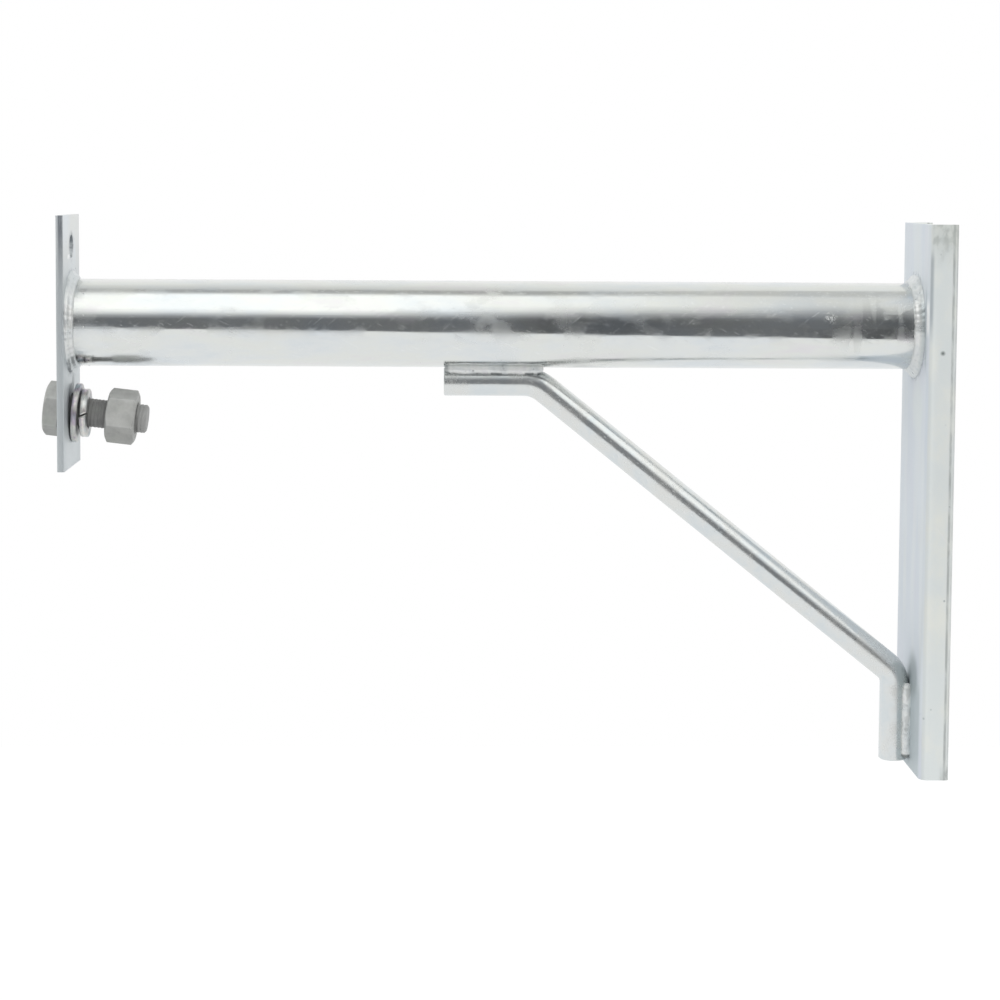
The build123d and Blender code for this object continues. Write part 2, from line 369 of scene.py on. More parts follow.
def tube_zinc():
    """Bright zinc on drawn tube: lengthwise lines, hazy patches, colour tints, scratches."""
    bench = Finish("bright_zinc_tube")
    lines = bench.cloud((0.16, 0.0011, 0.0011), 3.0, 0.6)
    broad_lines = bench.cloud((0.30, 0.0042, 0.0042), shift=(0.1, 0.0, 0.0))
    haze = bench.rise(bench.cloud((0.022, 0.012, 0.012), 3.0, 0.6), 0.48, 0.58)
    bands = bench.rise(bench.cloud((0.011, 0.06, 0.06), 2.0, 0.6, shift=(0.3, 0, 0)), 0.40, 0.68)
    stripes = bench.rise(bench.cloud((0.0064, 0.05, 0.05), 1.0, shift=(0.6, 0, 0)), 0.50, 0.60)
    stripes = stripes * bench.rise(bench.near((-0.044, -0.024, 0.0), 0.030), 0.0, 0.5)
    over_bolt = bench.near((-0.448, -0.006, -0.0235), 0.036)
    over_bar = bench.near((-0.204, -0.006, -0.0235), 0.030)
    tint = bench.cloud((0.045, 0.016, 0.016), 3.0, 0.6, shift=(0.7, 0.2, 0.1))
    cuts = bench.most(
        bench.scratches((0.0, 0.45, 0.2), 0.020, 0.0009, 0.70, 0.31),
        bench.scratches((0.3, -0.70, 0.1), 0.014, 0.0008, 0.71, 0.77),
    )
    plate_end = bench.fall(bench.x, PLATE_INNER_X + 0.004, PLATE_INNER_X + 0.014)
    web_end = bench.rise(bench.x, WEB_X - 0.013, WEB_X - 0.004)
    burnt = bench.most(plate_end, web_end) * bench.cloud((0.006, 0.003, 0.003), 3.0, 0.6)
    hazy_patch = bench.near((-0.254, -0.024, 0.002), 0.034)
    scuff_grain = bench.rise(bench.cloud(0.0014), 0.40, 0.60)
    scuff = bench.near((-0.0676, -0.0236, 0.0050), 0.0052) * scuff_grain
    bench.colour = bench.ramp(
        tint,
        (0.30, (0.71, 0.745, 0.765)),
        (0.44, (0.750, 0.770, 0.768)),
        (0.56, (0.765, 0.778, 0.752)),
        (0.68, (0.755, 0.745, 0.752)),
    )
    bench.tone(burnt * 0.35, (0.52, 0.54, 0.55))
    bench.tone(bench.most(cuts * 0.20, scuff * 0.7), (0.92, 0.93, 0.93))
    roughness = 0.080 + haze * 0.13 + bands * 0.05 + lines * 0.04 + stripes * 0.11
    roughness = roughness + burnt * 0.08 + hazy_patch * 0.15 + scuff * 0.30
    roughness = roughness + bench.most(over_bolt, over_bar) * 0.16
    height = lines * 0.30 + broad_lines * 0.55 - cuts * 0.25 + scuff * 0.8
    fine = bench.relief(height, 0.00006)
    wavy = bench.relief(bench.cloud((0.055, 0.02, 0.02), 1.0), 0.0006, 0.5, fine)
    return bench.surface(roughness, wavy, 1.0)


class Strip(Finish):
    """Satin zinc on rolled strip: faint grain, soft blotches, small pits and scratches."""

    def __init__(self, name, base):
        super().__init__(name)
        grain = self.cloud((0.0014, 0.0014, 0.05), 3.0, 0.6)
        blotch = self.rise(self.cloud((0.020, 0.020, 0.034), 4.0, 0.6), 0.36, 0.68)
        speckle = self.cloud(0.0016, 3.0, 0.65)
        sparse = self.rise(self.cloud(0.03, 1.0, shift=(0.4, 0.4, 0.1)), 0.52, 0.62)
        pits = self.fall(self.cells(0.0075), 0.05, 0.12) * sparse
        cuts = self.most(
            self.scratches((0.2, 0.3, 0.5), 0.018, 0.0008, 0.71, 0.55),
            self.scratches((-0.5, 0.9, 0.1), 0.015, 0.0008, 0.71, 0.21),
        )
        blue = (base[0] * 0.945, base[1] * 0.97, base[2])
        pale = (base[0] * 1.02, base[1] * 1.01, base[2] * 0.985)
        self.colour = self.mixed(blotch, blue, pale)
        self.tone(pits * 0.55, (0.30, 0.33, 0.36))
        self.tone(cuts * 0.35, (0.90, 0.91, 0.91))
        self.roughness = 0.36 + blotch * 0.10 + speckle * 0.10
        self.height = grain * 0.35 + speckle * 0.45 - pits * 1.2 - cuts * 0.4

    def done(self, metallic):
        return self.surface(self.roughness, self.relief(self.height, 0.00009), metallic)


def plate_zinc():
    """The end plate's finish: a darker sheared edge, and painted shade and a painted glint at its
    upper hole.
    """
    bench = Strip("bright_zinc_plate", (0.79, 0.81, 0.815))
    rim = bench.fall(bench.y, -0.0295, -0.0289)
    streaks = bench.rise(bench.cloud((0.0011, 0.0011, 0.018), 3.0, 0.6), 0.36, 0.62)
    inner_side = bench.rise(bench.x, PLATE_OUTER_X + 0.0011, PLATE_OUTER_X + 0.0018)
    upper = bench.rise(bench.z, -0.034, -0.008, 0.20, 1.0)
    bench.tone(rim * inner_side * upper * (0.72 + streaks * 0.24), (0.25, 0.27, 0.30))
    # Painted shade: the plate grows darker from its top downwards.
    bench.tone(bench.rise(bench.z, 0.010, 0.056, 0.96, 0.08), (0.62, 0.660, 0.678))
    grime_and_shade = bench.rise(bench.cloud((0.0018, 0.0018, 0.0030), 3.0, 0.6), 0.46, 0.60)
    # Painted shade in and round the upper hole: round its mouth, stronger above; on its bore's
    # wall, darkest at the top and deep in; and a dark streak on its far wall.
    hole = bench.near((PLATE_INNER_X, 0.0, UPPER_HOLE_Z), 0.0115)
    marks = bench.rise(hole, 0.02, 0.35) * (0.20 + grime_and_shade * 0.70)
    bench.tone(marks * bench.rise(bench.z, 0.0400, 0.0450, 0.40, 1.0))
    depth = bench.fall(bench.x, PLATE_INNER_X - 0.0012, PLATE_INNER_X - 0.0004, 0.80)
    depth = depth * bench.rise(bench.z, 0.0428, 0.0458, 0.12, 1.0) * (0.45 + grime_and_shade * 0.55)
    bore = bench.rise(bench.near((PLATE_INNER_X - 0.002, 0.0, UPPER_HOLE_Z), 0.0092), 0.10, 0.22)
    bench.tone(bore * depth)
    hole_core_shade = bench.near((PLATE_INNER_X - 0.0004, 0.0040, 0.0452), 0.0042)
    bench.tone(bench.rise(hole_core_shade, 0.0, 0.6) * 0.70, (0.15, 0.17, 0.19))
    # Painted shade on the plate in the gap between the weld's foot and the washers.
    crevice_shade = bench.near((PLATE_INNER_X, 0.004, -0.0335), 0.0060)
    bench.tone(bench.rise(crevice_shade, 0.05, 0.5) * (0.30 + grime_and_shade * 0.6))
    welded_face = bench.rise(bench.x, PLATE_INNER_X - 0.0016, PLATE_INNER_X - 0.0008)
    # Painted highlight: a glint at the lower rim of the upper hole.
    painted_glint_width = bench.fall(abs(bench.y + 0.0095), 0.001, 0.0055)
    painted_glint = painted_glint_width * bench.fall(abs(bench.z - 0.0366), 0.0004, 0.0018)
    bench.tone(painted_glint * welded_face * 0.85, (0.97, 0.98, 0.98))
    heat = bench.near((PLATE_INNER_X, 0.0, 0.0), 0.036) * welded_face
    bench.tone(heat * grime_and_shade * 0.22, (0.40, 0.43, 0.46))
    toe = bench.toe_line(PLATE_INNER_X, PLATE_TOE) * welded_face
    bench.tone(toe * (0.08 + grime_and_shade * 0.45), (0.36, 0.39, 0.42))
    return bench.done(0.74)


def channel_zinc():
    """The channel's finish: paler and less shiny, worn dark along the flange's tip, with painted
    shade, light and a glint on its web and bend.
    """
    bench = Strip("bright_zinc_channel", (0.865, 0.89, 0.858))
    # Painted shade: the web's outer face is darker and bluer than the flanges, in streaks.
    web = bench.rise(bench.y, -0.0364, -0.0348) * bench.fall(bench.x, -0.0148, -0.0138)
    streaks = bench.rise(bench.cloud((0.02, 0.022, 0.130)), 0.40, 0.60)
    bench.tone(web * (0.70 + streaks * 0.28), (0.69, 0.745, 0.80))
    lilac = bench.rise(bench.cloud((0.02, 0.028, 0.080), shift=(0.1, 0.4, 0.2)), 0.48, 0.62)
    bench.tone(web * lilac * 0.40, (0.69, 0.715, 0.785))
    tip = bench.band(bench.x, -0.0035, -0.0029, -0.0022, -0.0015)
    edge = bench.rise(bench.x, -0.0017, -0.0010)
    wear = bench.rise(bench.cloud((0.004, 0.004, 0.016), 3.0, 0.6), 0.30, 0.62)
    worn_tip = bench.most(tip * (0.25 + wear * 0.42), edge * (0.12 + wear * 0.22))
    bench.tone(worn_tip, (0.33, 0.35, 0.35))
    grime_and_shade = bench.rise(bench.cloud((0.0042, 0.0042, 0.0075), 3.0, 0.5), 0.42, 0.64)
    top = bench.rise(bench.z, 0.030, 0.052) * bench.rise(abs(bench.y), 0.0355, 0.0368)
    bench.tone(top * (0.30 + grime_and_shade * 0.46), (0.47, 0.505, 0.48))
    bench.tone(bench.near((-0.0078, -0.0375, -0.0127), 0.0019), (0.20, 0.23, 0.22))
    bench.tone(bench.near((WEB_X, -0.0240, -0.0150), 0.0018), (0.20, 0.20, 0.24))
    outer_face = bench.fall(bench.x, -0.0152, -0.0140)
    heat = bench.rise(bench.near((WEB_X, 0.0, 0.0), 0.042), 0.05, 0.35) * outer_face
    bench.tone(heat * grime_and_shade * 0.30, (0.46, 0.50, 0.54))
    # The dark line along the bead's toe, with painted shade added on its near side.
    near_side_shade = bench.fall(bench.y, -0.020, -0.012, 0.14)
    toe = bench.toe_line(WEB_X, WEB_TOE) * outer_face * (0.10 + near_side_shade + grime_and_shade * 0.3)
    bench.tone(toe, (0.32, 0.36, 0.38))
    # Painted shade: a dark strip at the near edge of the web, beside the bead, where the web turns
    # into the bend.
    side = bench.band(bench.y, -0.0324, -0.0316, -0.0302, -0.0292)
    side = side * bench.fall(abs(bench.z), 0.016, 0.026)
    bench.tone(side * outer_face * 0.60, (0.46, 0.54, 0.55))
    # Painted highlight: a glint on the bend between web and near flange, level with the tube.
    painted_glint = bench.band(bench.y, -0.0358, -0.0350, -0.0324, -0.0316)
    painted_glint = painted_glint * bench.rise(bench.z, -0.006, 0.002) * bench.fall(bench.z, 0.011, 0.018)
    bench.tone(painted_glint * bench.fall(bench.x, -0.0135, -0.0128, 0.95), (0.98, 1.0, 1.0))
    # Painted shade on the low end of the web, round the rod's seams.
    seam_shade_band = bench.band(bench.y, -0.035, -0.030, 0.008, 0.030)
    low = bench.fall(bench.z, -0.204, -0.192)
    bench.tone(web * seam_shade_band * low * 0.84, (0.51, 0.580, 0.605))
    # Painted shadow on the web where the rod's bend comes up to it.
    crook_shade = bench.rise(bench.near((WEB_X, -0.013, -0.1955), 0.020), 0.0, 0.7)
    bench.tone(web * crook_shade * 0.60, (0.32, 0.38, 0.39))
    # Painted light: a paler patch on the web just below the ring bead.
    light_under_ring = bench.rise(bench.near((WEB_X, -0.012, -0.044), 0.024), 0.0, 0.8)
    bench.tone(web * light_under_ring * 0.55, (0.76, 0.82, 0.81))
    # Painted shade along the bend between web and near flange, strongest level with the tube and
    # above it.
    fold_shade = bench.band(bench.y, -0.0373, -0.0364, -0.0360, -0.0350)
    fold_shade_stretch = bench.band(bench.z, -0.010, 0.010, 0.036, 0.046)
    bench.tone(fold_shade * (0.18 + fold_shade_stretch * 0.55), (0.34, 0.38, 0.42))
    foot = bench.fall(bench.z, -0.246, -0.2395) * bench.rise(bench.x, -0.006, -0.003)
    bench.tone(foot * (0.25 + grime_and_shade * 0.5), (0.30, 0.32, 0.31))
    bench.roughness = bench.roughness + 0.06
    return bench.done(0.26)


def rod_zinc():
    """Bright zinc on drawn bar, with painted shadow on its top under the seam."""
    bench = Finish("bright_zinc_rod")
    mottle = bench.cloud(0.014, 4.0, 0.6)
    fine = bench.cloud(0.0012, 3.0, 0.6)
    haze = bench.rise(mottle, 0.42, 0.62)
    cuts = bench.scratches((0.2, 0.7, 0.4), 0.016, 0.0008, 0.70, 0.43)
    bench.colour = bench.ramp(
        mottle,
        (0.34, (0.71, 0.75, 0.765)),
        (0.48, (0.755, 0.775, 0.77)),
        (0.62, (0.77, 0.775, 0.755)),
    )
    # Painted shadow on the bar's top, where the tube's seam hangs over it.
    seam_shadow = bench.rise(bench.z, -0.0312, -0.0296) * bench.fall(bench.x, -0.226, -0.218)
    bench.tone(seam_shadow * 0.45, (0.30, 0.32, 0.32))
    bench.tone(cuts * 0.30, (0.92, 0.93, 0.93))
    height = fine * 0.5 + mottle * 0.8 - cuts * 0.4
    return bench.surface(0.15 + haze * 0.12 + fine * 0.06, bench.relief(height, 0.00008), 0.86)


class Weld(Finish):
    """Zinc over a weld bead, with tints and a few dark slag specks in its hollows."""

    def __init__(self, name, gain):
        super().__init__(name)
        patches = self.cloud(0.006, 3.0, 0.55)
        chance = self.rise(self.cloud(0.009, shift=(0.2, 0.5, 0.3)), 0.58, 0.68)
        specks = self.fall(self.cells(0.0046), 0.10, 0.24) * chance
        stops = (
            (0.32, (0.60, 0.625, 0.63)),
            (0.45, (0.70, 0.72, 0.72)),
            (0.56, (0.76, 0.77, 0.755)),
            (0.70, (0.69, 0.69, 0.705)),
        )
        lit = ((at, tuple(min(1.0, c * gain) for c in colour)) for at, colour in stops)
        self.colour = self.ramp(patches, *lit)
        self.tone(specks * 0.60, (0.20, 0.21, 0.23))
        self.height = self.cloud(0.0026, 1.0) - specks
        self.roughness = 0.22 + patches * 0.16 + specks * 0.3

    def done(self, metallic):
        return self.surface(self.roughness, self.relief(self.height, 0.00002), metallic)


def ring_zinc():
    """The beads round the tube, with painted shade towards their top and foot and in the crook by
    the web.
    """
    bench = Weld("weld_bead", 1.06)
    # Painted shade: the beads grow darker towards their top and foot, more so at the plate.
    top_and_foot_shade = bench.rise(abs(bench.z), 0.010, 0.025)
    bench.tone(top_and_foot_shade * bench.rise(bench.x, -0.10, -0.05, 0.62, 0.40), (0.52, 0.57, 0.59))
    # Painted shade on the near side of the bead at the web, in the crook.
    crook_shade = bench.rise(bench.x, WEB_X - 0.0026, WEB_X - 0.0010) * (1.0 - top_and_foot_shade)
    bench.tone(crook_shade * bench.fall(bench.y, -0.022, -0.012) * 0.52, (0.34, 0.41, 0.42))
    return bench.done(0.62)


def seam_zinc():
    """The seams along the bar: paler, with dark dashes along the toe, and dark at the foot."""
    bench = Weld("weld_seam", 1.18)
    chance = bench.rise(bench.cloud((0.0065, 0.09, 0.09), shift=(0.3, 0.4, 0.0)), 0.46, 0.52)
    toe = bench.band(bench.z, -0.05, -0.04, -0.0272, -0.0262)
    start = bench.near((-0.2780, -0.0052, -0.0250), 0.0045)
    marks = bench.most(toe * chance * 0.85, bench.rise(start, 0.1, 0.6) * 0.55)
    smoke = bench.rise(bench.cloud((0.005, 0.005, 0.009), shift=(0.1, 0.7, 0.3)), 0.46, 0.60)
    bench.tone(smoke * bench.rise(bench.x, -0.040, -0.030) * 0.50, (0.42, 0.44, 0.43))
    foot = bench.fall(bench.z, -0.2428, -0.2412)
    bench.tone(bench.most(marks, foot * 0.9), (0.17, 0.19, 0.19))
    return bench.done(0.22)


def dull_galvanised(name, base, metallic):
    """Dull hot-dip zinc: matte grey, cloudy, with edges rubbed lighter and a lighter tip."""
    bench = Finish(name)
    mottle = bench.cloud(0.007, 4.0, 0.6)
    fine = bench.cloud(0.0011, 3.0, 0.6)
    stain = bench.rise(bench.cloud(0.011, shift=(0.3, 0.1, 0.6)), 0.54, 0.70)
    worn = bench.amount("ShaderNodeAttribute", "Fac", attribute_name="edge")
    dark = tuple(c * 0.86 for c in base)
    light = tuple(min(1.0, c * 1.12) for c in base)
    bench.colour = bench.ramp(mottle, (0.34, dark), (0.50, base), (0.66, light))
    bench.tone(stain * 0.22, (base[0] * 0.93, base[1], base[2] * 0.90))
    bench.tone(worn * (0.10 + fine * 0.45), (0.60, 0.61, 0.60))
    bench.tone(bench.rise(bench.x, -0.4508, -0.4494) * 0.60, (0.47, 0.475, 0.465))
    height = fine * 0.6 + mottle * 1.2
    return bench.surface(0.50 + mottle * 0.16, bench.relief(height, 0.00010), metallic)


def washer_zinc():
    """Bright zinc with a violet and teal passivation film, rougher away from the rim and darker
    there with painted shade and some dirt.
    """
    bench = Finish("bright_zinc_washer")
    film = bench.cloud(0.012, 3.0, 0.6)
    bench.colour = bench.ramp(
        film,
        (0.30, (0.46, 0.57, 0.60)),
        (0.42, (0.74, 0.76, 0.75)),
        (0.52, (0.80, 0.77, 0.72)),
        (0.60, (0.60, 0.50, 0.60)),
        (0.72, (0.50, 0.57, 0.61)),
    )
    # Painted shade, mottled with dirt, wherever the rim's painted shine is weak.
    off_rim = 1.0 - bench.amount("ShaderNodeAttribute", "Fac", attribute_name="edge")
    shade_and_dirt = bench.rise(bench.cloud(0.005, 3.0, 0.6), 0.38, 0.62)
    bench.tone(off_rim * (0.26 + shade_and_dirt * 0.34), (0.26, 0.30, 0.32))
    roughness = 0.18 + film * 0.14 + off_rim * 0.14
    return bench.surface(roughness, bench.relief(bench.cloud(0.0010), 0.00004), 0.72)


RING_ZINC = ring_zinc()
SEAM_ZINC = seam_zinc()
GALVANISED = dull_galvanised("dull_galvanised", (0.445, 0.45, 0.434), 0.16)
# The thread has the head's zinc made darker, as painted shade between its turns.
SHADED_THREAD = dull_galvanised("dull_thread", (0.225, 0.225, 0.22), 0.22)
WASHER_ZINC = washer_zinc()

CARRIED = {
    "arm_tube": tube_zinc(),
    "end_plate": plate_zinc(),
    "pole_channel": channel_zinc(),
    "brace_rod": rod_zinc(),
    "plate_weld": RING_ZINC,
    "channel_weld": RING_ZINC,
    "tube_seam_front": SEAM_ZINC,
    "tube_seam_back": SEAM_ZINC,
    "channel_seam_front": SEAM_ZINC,
    "channel_seam_back": SEAM_ZINC,
    "hex_bolt": GALVANISED,
    "hex_nut": GALVANISED,
    "flat_washer": WASHER_ZINC,
    "spring_washer": WASHER_ZINC,
}
for node_name, node_finish in CARRIED.items():
    for material_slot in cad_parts[node_name].material_slots:
        material_slot.material = node_finish


def stands_for(piece, node):
    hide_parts(node)
    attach(piece, "root")


# Weld beads


def bead_recipe():
    """A weld bead along a path: flat or round face, soft ripples, rounded ends, slight wander."""
    bench = Recipe(
        "weld_bead",
        {
            "Bead radius": 3.0 * MM,
            "Leg": PLATE_LEG,
            "Flat face": 0.0,
            "Crown": 0.6 * MM,
            "Crown direction": (0.0, -1.0, 0.0),
            "Radial share": 0.0,
            "Ripple spacing": 2.6 * MM,
            "Ripple height": 0.14 * MM,
            "Ripple lag": 0.8,
            "Lump height": 0.25 * MM,
            "Groove depth": 0.0,
            "Swell": 0.12,
            "End length": 4.0 * MM,
            "Taper": 1.0,
            "Wander": 0.5 * MM,
            "Seed": 1.0,
        },
    )
    size = bench.size
    even = bench.even_curve(size("Ripple spacing") / 9.0)
    drift = bench.noise(size("Seed"), 110.0, output="Color")
    centred = bench.vector("SUBTRACT", drift, (0.5, 0.5, 0.5))
    wandered = bench.moved(even, centred, size("Wander") * 2.0)
    along = bench.amount("GeometryNodeSplineParameter", "Length")
    whole = bench.amount("GeometryNodeSplineLength", "Length")
    to_end = bench.maths("MINIMUM", along, whole - along) / size("End length")
    inside = bench.maths("MINIMUM", to_end, 1.0)
    rounded = bench.maths("SQRT", 1.0 - (1.0 - inside) ** 2.0)
    ends = 1.0 - size("Taper") * (1.0 - bench.most(rounded, 0.15))
    swell = bench.noise(size("Seed") + 2.0, 120.0, 2.0)
    ends = ends * (1.0 + (swell - 0.5) * 2.0 * size("Swell"))
    path, along, ends, axis = bench.keep(wandered, along=along, ends=ends, axis=bench.place)
    start_radius = 1.0 * MM
    swept = bench.sweep(path, bench.circle(40, start_radius))
    outwards = bench.vector("NORMALIZE", bench.vector("SUBTRACT", bench.place, axis))
    radial = bench.vector("NORMALIZE", bench.vector("MULTIPLY", axis, (0.0, 1.0, 1.0)))
    lean = bench.vector("SCALE", radial, size("Radial share"))
    crown = bench.vector("NORMALIZE", bench.vector("ADD", size("Crown direction"), lean))
    bow = bench.vector("DOT_PRODUCT", outwards, crown)
    ahead = bench.most(bow, 0.05)
    chord = size("Leg") * math.sqrt(0.5) + size("Crown") * (ahead - 0.7071) / 0.2929
    buried = size("Leg") * bench.most(bow * 0.62 + 0.62, 0.22)
    flat = bench.maths("SMOOTH_MIN", chord / ahead, buried)
    flat.socket.node.inputs[2].default_value = 0.3 * MM
    radius = flat * size("Flat face") + size("Bead radius") * (1.0 - size("Flat face"))
    step = along / size("Ripple spacing")
    phase = bench.maths("FRACT", step + bow * size("Ripple lag") + 50.0)
    hump = 1.0 - abs(phase * 2.0 - 1.0) ** 2.2
    lump = bench.noise(size("Seed") + 5.0, 170.0)
    lift = (hump - 0.6) * size("Ripple height") * bench.rise(bow, -0.2, 0.4)
    lift = lift + (lump - 0.5) * 2.0 * size("Lump height")
    lift = lift - bench.rise(bow, 0.93, 0.995) * size("Groove depth")
    return bench.close(bench.moved(swept, outwards, (radius + lift) * ends - start_radius))


BEADS = bead_recipe()


def path_mesh(name, points, closed=False):
    edges = [(i, i + 1) for i in range(len(points) - 1)]
    if closed:
        edges.append((len(points) - 1, 0))
    return add_mesh(name, points, (), edges)


def bead(name, node, path, finish, sizes):
    stands_for(BEADS.make(name, path, finish, sizes), node)


def ring_bead(name, node, face_x, direction, leg, seed):
    """A fillet right round the tube, from the tube's wall to the plate's face."""
    points = []
    for i in range(120):
        turn = 2.0 * math.pi * i / 120
        points.append((face_x, -TUBE_RADIUS * math.cos(turn), TUBE_RADIUS * math.sin(turn)))
    sizes = {
        "Leg": leg,
        "Flat face": 1.0,
        "Crown": 0.85 * MM,
        "Crown direction": (direction, 0.0, 0.0),
        "Radial share": 1.0,
        "Ripple spacing": 3.2 * MM,
        "Ripple height": 0.13 * MM,
        "Ripple lag": 0.7,
        "Lump height": 0.55 * MM,
        "Groove depth": 0.65 * MM,
        "Swell": 0.16,
        "Taper": 0.0,
        "Wander": 0.0,
        "Seed": seed,
    }
    bead(name, node, path_mesh(name + "_path", points, True), RING_ZINC, sizes)


def straight_bead(name, node, side, start, end, bead_radius, seed):
    """A bead in the groove that the round bar makes with what it lies against."""
    points = [Vector(start).lerp(Vector(end), i / 20) for i in range(21)]
    sizes = {
        "Bead radius": bead_radius,
        "Crown direction": (0.0, side, 0.0),
        "Ripple spacing": 3.4 * MM,
        "Ripple height": 0.13 * MM,
        "Lump height": 0.50 * MM,
        "Swell": 0.14,
        "Wander": 0.7 * MM,
        "Seed": seed,
    }
    bead(name, node, path_mesh(name + "_path", points), SEAM_ZINC, sizes)


ring_bead("plate_weld_bead", "plate_weld", PLATE_INNER_X, 1.0, PLATE_LEG, 3.0)
ring_bead("channel_weld_bead", "channel_weld", WEB_X, -1.0, WEB_LEG, 8.0)
for side_name, side, seed in (("front", -1.0, 12.0), ("back", 1.0, 21.0)):
    straight_bead(
        "tube_seam_bead_" + side_name,
        "tube_seam_" + side_name,
        side,
        (TUBE_SEAM_X[0], side * 5.2 * MM, TUBE_SEAM_Z),
        (TUBE_SEAM_X[1], side * 5.2 * MM, TUBE_SEAM_Z),
        2.7 * MM,
        seed,
    )
    straight_bead(
        "channel_seam_bead_" + side_name,
        "channel_seam_" + side_name,
        side,
        (CHANNEL_SEAM_X, side * 5.52 * MM, CHANNEL_SEAM_Z[0]),
        (CHANNEL_SEAM_X, side * 5.52 * MM, CHANNEL_SEAM_Z[1]),
        3.25 * MM,
        seed + 4.0,
    )


# Weld spatter


def spatter_recipe():
    """Small flattened drops of weld metal, scattered over a patch."""
    bench = Recipe(
        "weld_spatter",
        {
            "Drops to the square metre": 30000.0,
            "Smallest drop": 0.22 * MM,
            "Largest drop": 0.60 * MM,
            "Flatness": 0.55,
            "Seed": 1,
        },
    )
    size = bench.size
    spread = bench.node(
        "GeometryNodeDistributePointsOnFaces",
        {"Mesh": bench.shape, "Density": size("Drops to the square metre"), "Seed": size("Seed")},
        distribute_method="RANDOM",
    )
    drop = bench.node("GeometryNodeMeshIcoSphere", {"Radius": 1.0, "Subdivisions": 2})
    limits = {2: size("Smallest drop"), 3: size("Largest drop"), "Seed": size("Seed")}
    radius = bench.amount("FunctionNodeRandomValue", 1, limits, data_type="FLOAT")
    girth = {"X": radius, "Y": radius, "Z": radius * size("Flatness")}
    drops = bench.node(
        "GeometryNodeInstanceOnPoints",
        {
            "Points": spread.outputs["Points"],
            "Instance": drop.outputs["Mesh"],
            "Rotation": spread.outputs["Rotation"],
            "Scale": bench.node("ShaderNodeCombineXYZ", girth).outputs[0],
        },
    )
    return bench.close(drops.outputs[0])


SPATTER = spatter_recipe()


def ring_strip(name, edges_at):
    """A strip right round the tube's axis. edges_at gives its edges' (x, radius) at a turn."""
    points = []
    for i in range(48):
        turn = 2.0 * math.pi * i / 48
        for x, radius in edges_at(turn):
            points.append((x, radius * math.cos(turn), radius * math.sin(turn)))
    count = len(points)
    faces = [(i, i + 1, (i + 3) % count, (i + 2) % count) for i in range(0, count, 2)]
    return add_mesh(name, points, faces)


def annulus(name, x, inner, outer, half_width):
    """A flat ring on a plate's face, cut off at its long edges, to scatter drops on."""

    def edges_at(turn):
        to_edge = half_width / max(abs(math.cos(turn)), 0.1)
        return (x, inner), (x, max(inner, min(outer, to_edge)))

    return ring_strip(name, edges_at)


def sleeve(name, start_x, end_x):
    """A strip on the tube's wall, to scatter drops on."""
    return ring_strip(name, lambda turn: ((start_x, TUBE_RADIUS), (end_x, TUBE_RADIUS)))


def scatter(name, patch, seed, density, largest):
    sizes = {"Seed": seed, "Drops to the square metre": density, "Largest drop": largest * MM}
    piece = SPATTER.make(name, patch, RING_ZINC, sizes)
    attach(piece, "root")


PLATE_PATCH = annulus("plate_patch", PLATE_INNER_X, 29.2 * MM, 34.5 * MM, 28.5 * MM)
WEB_PATCH = annulus("web_patch", WEB_X, 29.8 * MM, 36.0 * MM, 31.5 * MM)
scatter("plate_spatter", PLATE_PATCH, 4, 26000.0, 0.6)
scatter("web_spatter", WEB_PATCH, 9, 16000.0, 0.6)
scatter("tube_spatter_plate", sleeve("strip_a", -482.0 * MM, -476.0 * MM), 5, 18000.0, 0.5)
scatter("tube_spatter_web", sleeve("strip_b", -28.0 * MM, -21.5 * MM), 7, 9000.0, 0.4)


# Bolt set


def leaning(origin, lean):
    """Origin and axes of a thing that leans nose down: along it, across it and up from it."""
    along = Vector((math.cos(lean), 0.0, -math.sin(lean)))
    across = Vector((0.0, 1.0, 0.0))
    up = Vector((math.sin(lean), 0.0, math.cos(lean)))
    return Vector(origin), along, across, up


def around_axis(axes, reach, radius, angle):
    origin, along, across, up = axes
    return origin + along * reach + radius * (math.cos(angle) * across + math.sin(angle) * up)


def soft_least(first, second, blend):
    """The smaller of two lengths, rounded over where they cross."""
    high = max(first, second)
    low = min(first, second)
    return low - blend * math.log1p(math.exp(-(high - low) / blend))


HEX_FACE_RADIUS = ACROSS_FLATS / 2 * 0.97
HEX_CORNER_RADIUS = ACROSS_FLATS / math.sqrt(3.0)
HEX_CHAMFER = math.tan(math.radians(28.0))
HEX_STEPS = (0.5, 1.2, 2.4, 4.5, 9.0, 16.0, 23.0)
HEX_OFFSETS = [-step for step in reversed(HEX_STEPS)] + [0.0] + list(HEX_STEPS) + [30.0]
HEX_DEGREES = [60.0 * k + offset for k in range(6) for offset in HEX_OFFSETS]
HEX_WEAR = [math.exp(-((offset / 2.2) ** 2)) for k in range(6) for offset in HEX_OFFSETS]
END_LEVELS = (0.0, 0.04, 0.10, 0.18, 0.28, 0.40, 0.55, 0.72, 0.90, 1.08, 1.26, 1.50, 1.90, 2.50)
BROKEN_EDGE = 0.35 * MM
BEVEL_BLEND = 0.09 * MM


